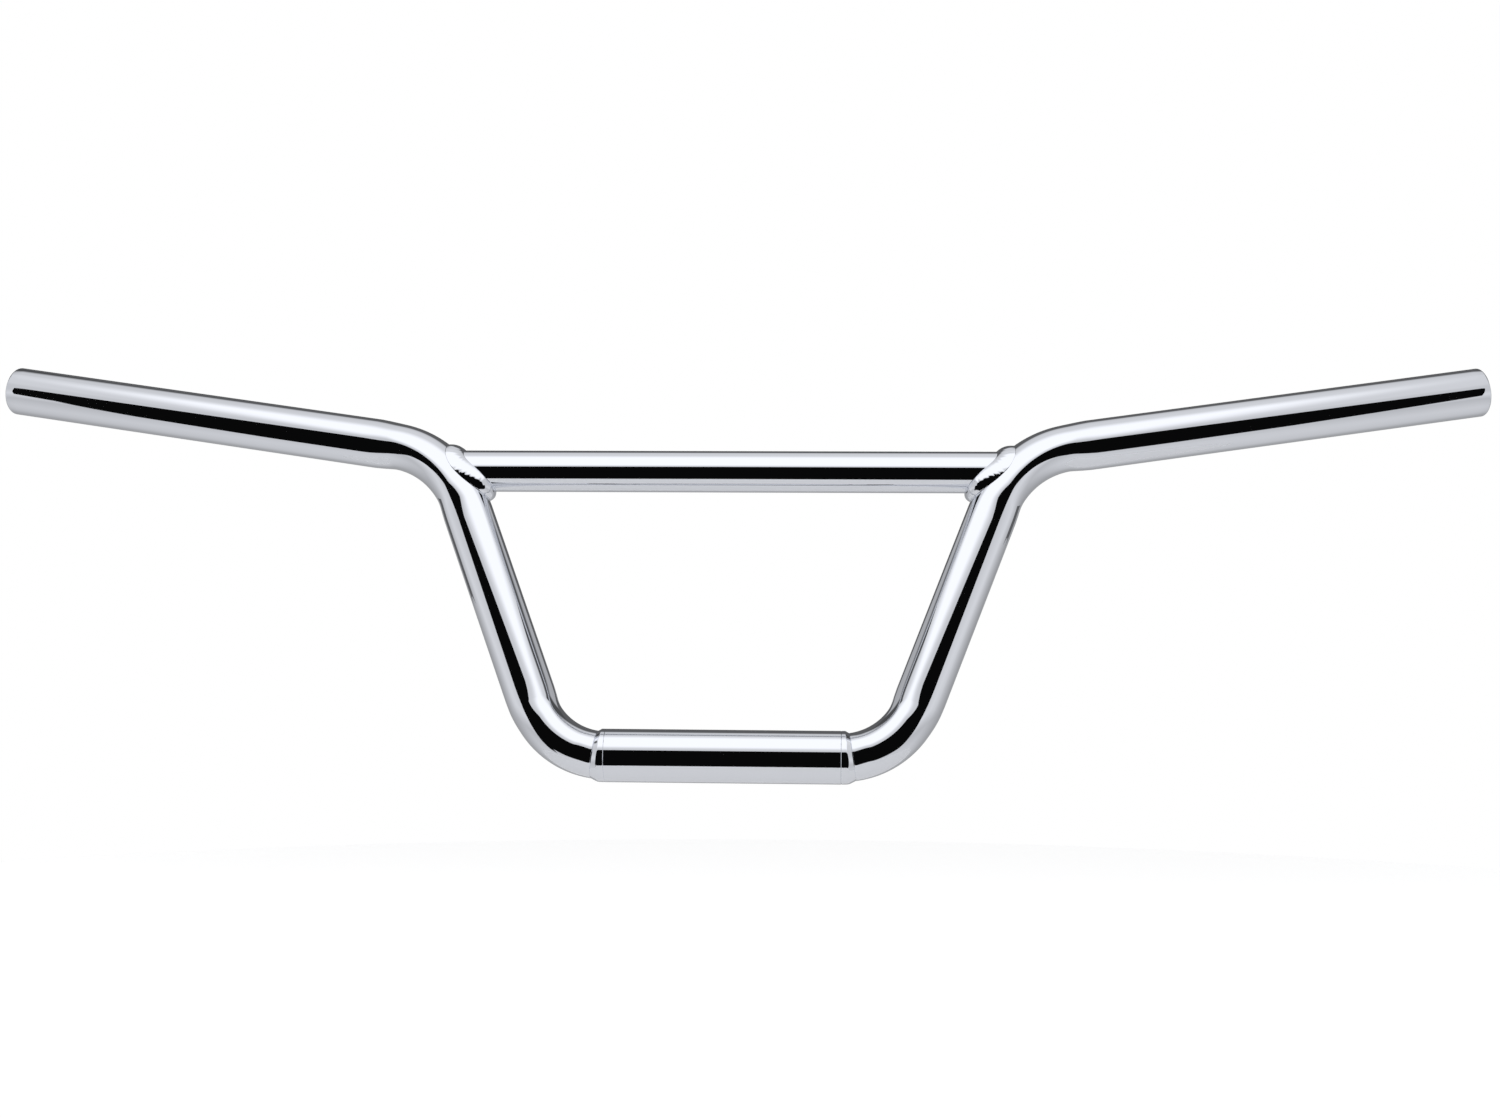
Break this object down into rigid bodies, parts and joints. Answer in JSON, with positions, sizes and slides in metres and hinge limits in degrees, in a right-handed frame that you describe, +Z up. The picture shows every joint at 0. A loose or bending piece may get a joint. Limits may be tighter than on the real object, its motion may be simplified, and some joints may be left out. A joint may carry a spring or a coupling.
{
  "type": "motorcycle handlebar",
  "caption": "Chromed steel motorcycle handlebar of bent tube, with a straight clamp section, raised swept-back grips and a welded crossbar.",
  "frame": {"origin": "the middle of the clamp tube, on its axis", "axes": "+X along the clamp tube to the rider's left, +Y back to the rider, +Z up with the arms leaning back 15 degrees"},
  "size_m": [0.6908, 0.1033, 0.1849],
  "materials": {
    "chrome": "polished",
    "weld_chrome": "plated over a weld bead"
  },
  "bodies": {
    "root": {"clamp_tube": "chrome", "side_tube_left": "chrome", "side_tube_right": "chrome", "seam_weld_left": "weld_chrome", "seam_weld_right": "weld_chrome", "crossbar": "chrome", "crossbar_weld_left": "weld_chrome", "crossbar_weld_right": "weld_chrome"}
  },
  "joints": []
}
